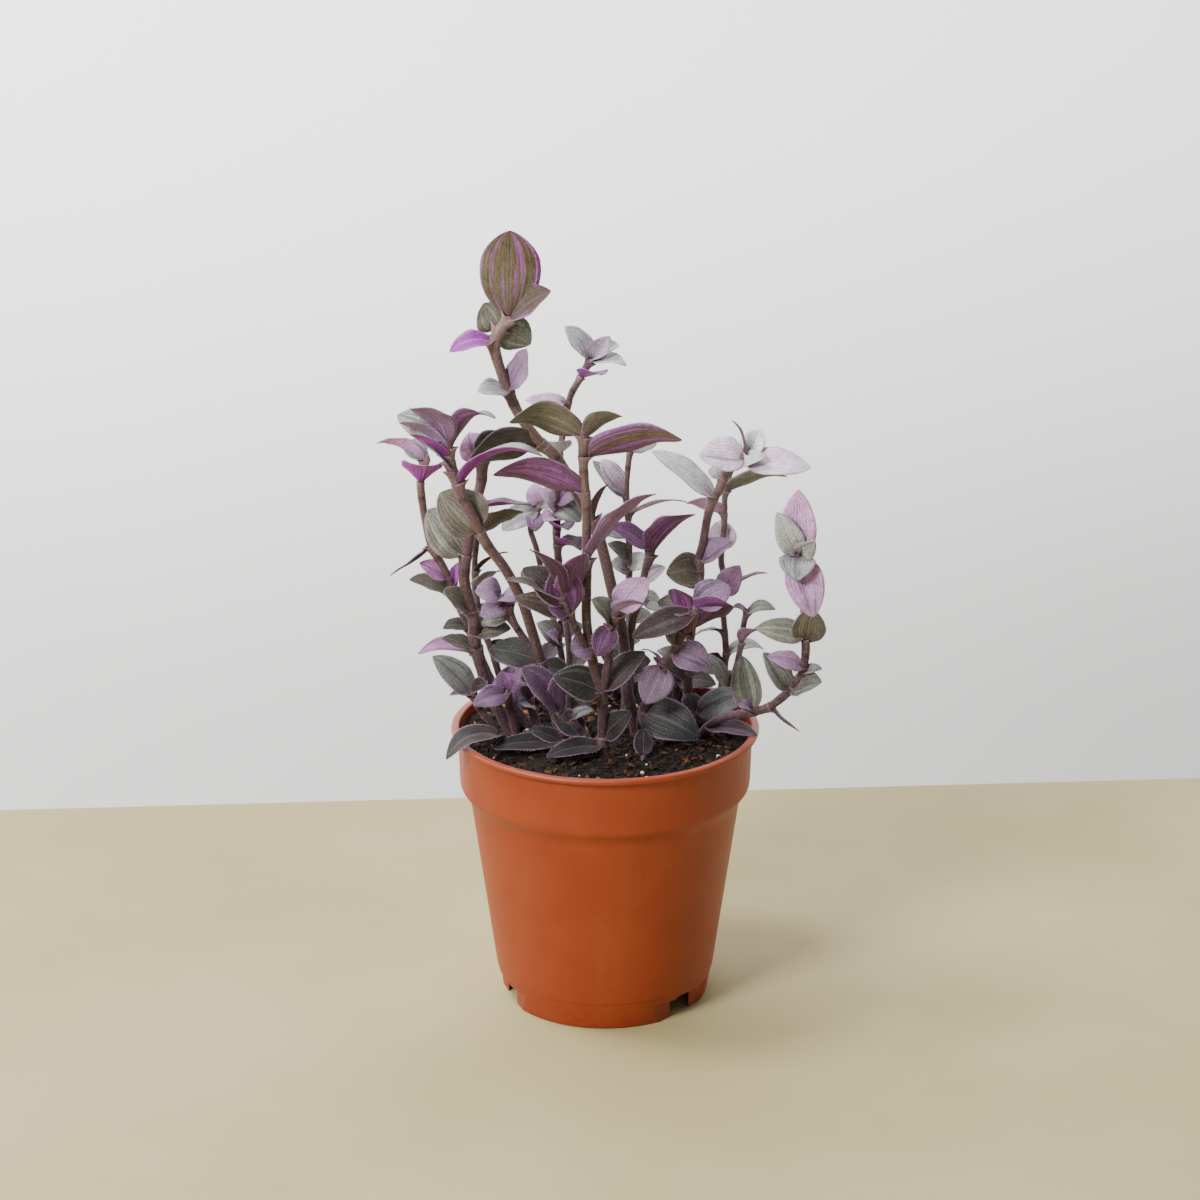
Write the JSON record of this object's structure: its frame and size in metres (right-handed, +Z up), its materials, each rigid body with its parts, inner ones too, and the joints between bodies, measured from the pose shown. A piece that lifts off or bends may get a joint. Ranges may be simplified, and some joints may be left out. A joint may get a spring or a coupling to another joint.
{
  "type": "potted tradescantia",
  "caption": "Young trailing house plant with striped purple and silver leaves on jointed stems, standing in potting soil in a round tapered nursery pot.",
  "frame": {"origin": "on the table under the middle of the pot's foot, which is within 1.5 mm of the middle of the whole part's box seen from above", "axes": "+Z up along the pot's axis, -Y towards the viewer, +X to the viewer's right"},
  "size_m": [0.1451, 0.1026, 0.2645],
  "materials": {
    "pot": "satin terracotta-coloured plastic",
    "soil": "moist dark potting soil with bark and perlite",
    "foliage": "soft, finely haired leaves with parallel stripes"
  },
  "bodies": {
    "root": {"pot": "pot", "potting_soil": "soil", "stem_tall": "foliage", "stem_back_middle": "foliage", "stem_centre": "foliage", "stem_left_front": "foliage", "stem_left_middle": "foliage", "stem_left_back": "foliage", "stem_far_left": "foliage", "stem_low_left": "foliage", "stem_lilac_left": "foliage", "stem_cup_left": "foliage", "stem_trumpet": "foliage", "stem_right_tall": "foliage", "stem_right_thin": "foliage", "stem_right_arching": "foliage", "stem_right_low": "foliage", "stem_front_middle": "foliage", "stem_middle_right": "foliage", "stem_back_slim": "foliage", "stem_back_left": "foliage", "sprout_right": "foliage", "sprout_rim": "foliage", "sprout_front_left": "foliage", "sprout_front": "foliage", "sprout_back_left": "foliage", "sprout_back": "foliage", "sprout_back_right": "foliage"}
  },
  "joints": []
}
